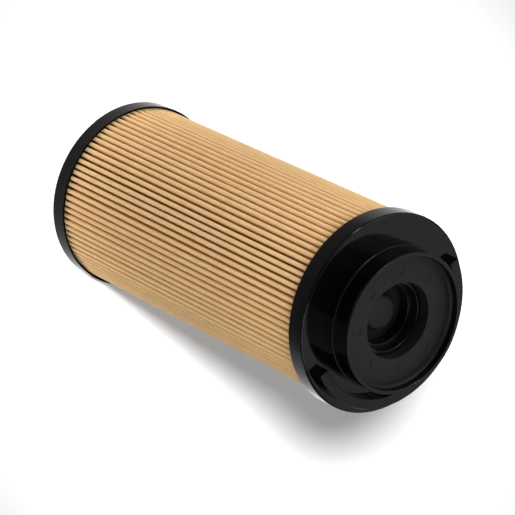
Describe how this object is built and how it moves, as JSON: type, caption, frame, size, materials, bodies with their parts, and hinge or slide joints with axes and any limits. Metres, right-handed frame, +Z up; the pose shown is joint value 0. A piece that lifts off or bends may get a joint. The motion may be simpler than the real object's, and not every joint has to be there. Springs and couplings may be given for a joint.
{
  "type": "pleated filter element",
  "caption": "Cylindrical pleated paper filter element with black moulded end caps, a necked dish with a sprung bypass valve above and a sealed outlet bore below.",
  "frame": {"origin": "centre of the lower cap's bottom face, on which the element stands", "axes": "+Z up the element's axis to the necked upper cap, +Y to the middle of the half ring on that cap"},
  "size_m": [0.1, 0.1, 0.22],
  "materials": {
    "cap_black": "gloss black moulded glass-filled nylon",
    "valve_nylon": "satin black moulded nylon",
    "core_nylon": "satin black moulded nylon",
    "filter_paper": "resin-impregnated tan cellulose filter paper",
    "bond_resin": "cast dark adhesive",
    "seal_rubber": "nitrile rubber",
    "spring_steel": "drawn spring wire"
  },
  "bodies": {
    "element": {"lower_end_cap": "cap_black", "outlet_seal": "seal_rubber", "outlet_retainer": "valve_nylon", "lower_bond": "bond_resin", "pleated_media": "filter_paper", "support_core": "core_nylon", "upper_bond": "bond_resin", "upper_end_cap": "cap_black", "bypass_body": "valve_nylon", "bypass_body_seal": "seal_rubber", "bypass_cage": "valve_nylon", "bypass_spring": "spring_steel"},
    "poppet": {"bypass_poppet": "valve_nylon", "poppet_seal": "seal_rubber"}
  },
  "joints": [
    {"name": "bypass_slide", "type": "slide", "parent": "element", "child": "poppet", "axis": [0, 0, -1], "range_m": [0, 0.006], "stiffness_N_per_m": 13800, "deforming": ["bypass_spring"]}
  ]
}
